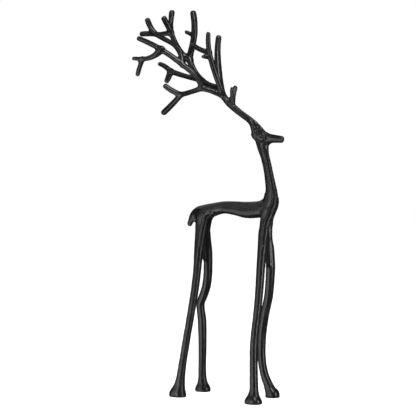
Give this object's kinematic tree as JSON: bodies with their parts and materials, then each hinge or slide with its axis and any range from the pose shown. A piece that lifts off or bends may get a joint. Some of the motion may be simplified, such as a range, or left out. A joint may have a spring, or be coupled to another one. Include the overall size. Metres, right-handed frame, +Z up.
{
  "type": "deer figure",
  "caption": "Slender standing deer with tall thin legs, a long neck and wide branching antlers swept back, cast in metal as one piece, in satin black.",
  "frame": {"origin": "middle of the bounding box, in the plane of the four soles", "axes": "+X ahead, where the deer looks; +Y to the deer's left; +Z up"},
  "size_m": [0.2084, 0.0808, 0.5088],
  "materials": {
    "satin_black_cast_metal": "satin black over a fine sand-cast surface, faintly worn along the edges"
  },
  "bodies": {
    "root": {"deer_figure": "satin_black_cast_metal"}
  },
  "joints": []
}
